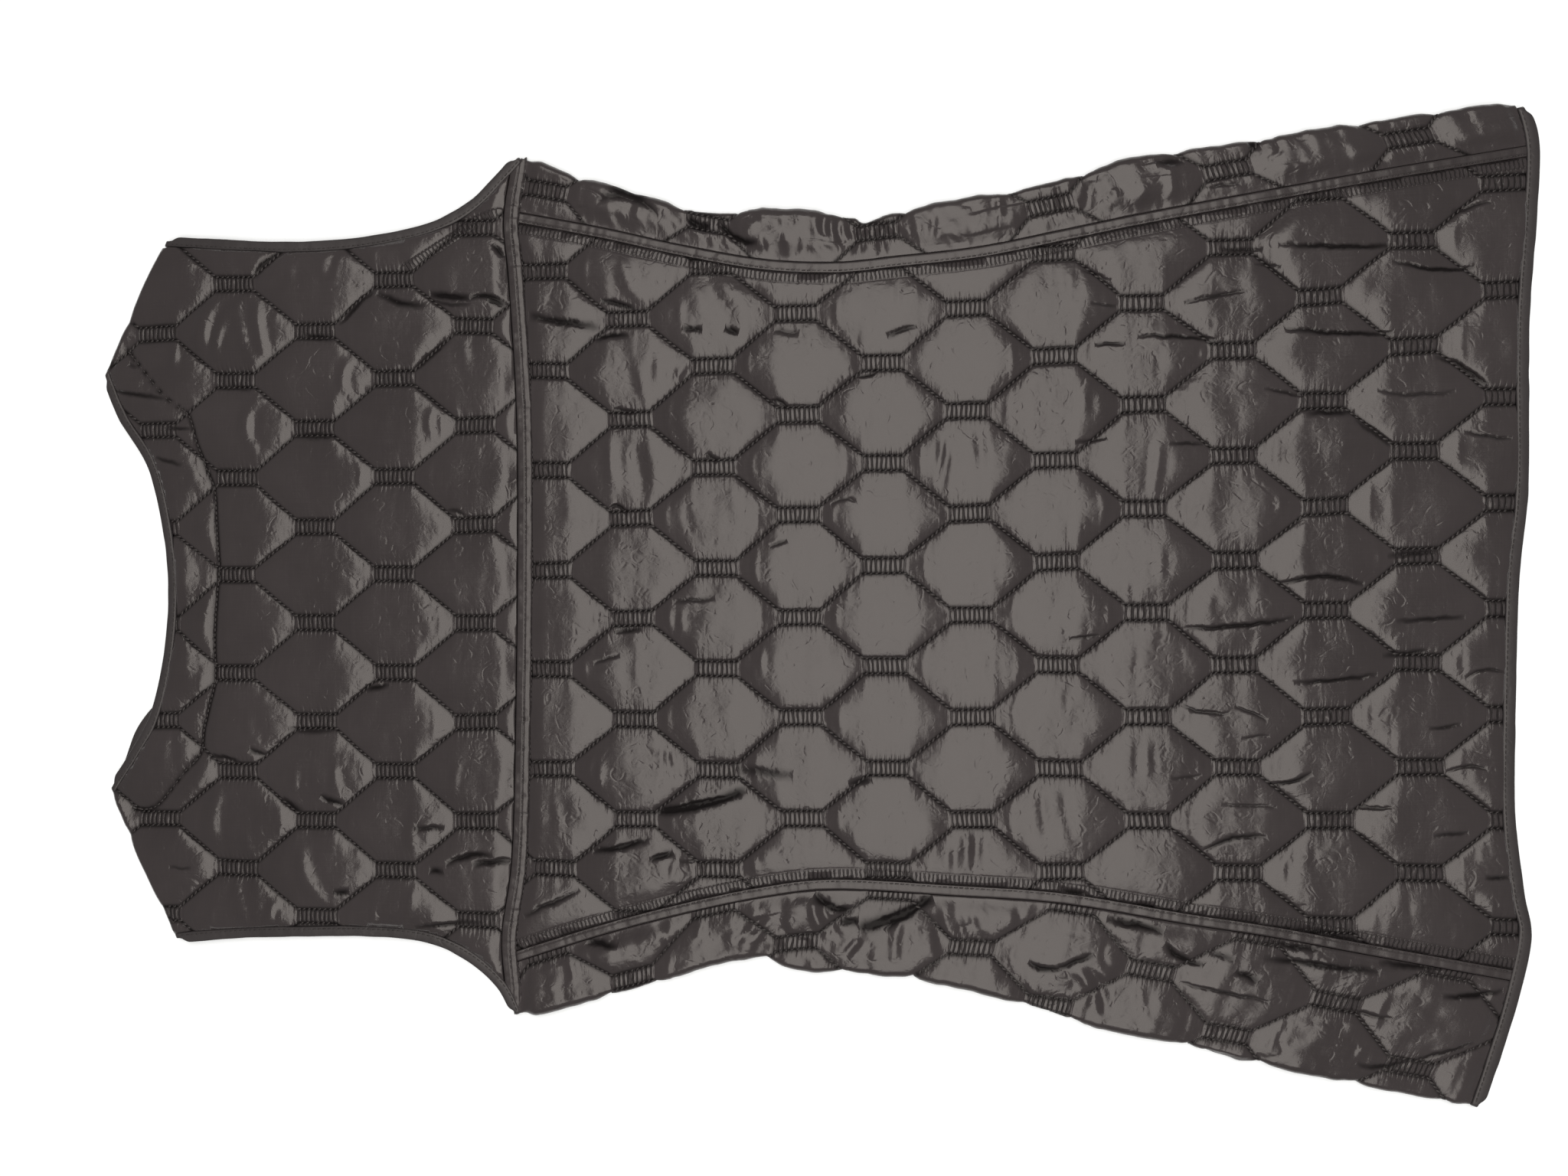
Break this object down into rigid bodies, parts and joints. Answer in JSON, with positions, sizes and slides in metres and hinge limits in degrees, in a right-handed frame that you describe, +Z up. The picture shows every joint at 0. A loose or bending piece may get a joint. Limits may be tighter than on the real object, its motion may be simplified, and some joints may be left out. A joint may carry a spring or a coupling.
{
  "type": "quilted vest",
  "caption": "Sleeveless quilted vest laid flat on its front, back up, with a yoke, shaped side panels that wrap round the folds, felled seams and bound neck, armholes and hem.",
  "frame": {"origin": "middle of the surface that the vest lies on, under the middle of its outline", "axes": "+X from neck to hem, +Y towards the wearer's right side, +Z up out of the back"},
  "size_m": [0.7884, 0.5261, 0.008],
  "materials": {
    "quilted_nylon": "dark grey-brown satin nylon over thin wadding, quilted",
    "binding_tape": "dark grey folded nylon binding"
  },
  "bodies": {
    "root": {"back_yoke": "quilted_nylon", "back_centre": "quilted_nylon", "side_right": "quilted_nylon", "side_left": "quilted_nylon", "front_right": "quilted_nylon", "front_left": "quilted_nylon", "yoke_seam": "quilted_nylon", "side_seam_right": "quilted_nylon", "side_seam_left": "quilted_nylon", "neck_binding": "binding_tape", "armhole_binding_right": "binding_tape", "armhole_binding_left": "binding_tape", "hem_binding": "binding_tape"}
  },
  "joints": []
}
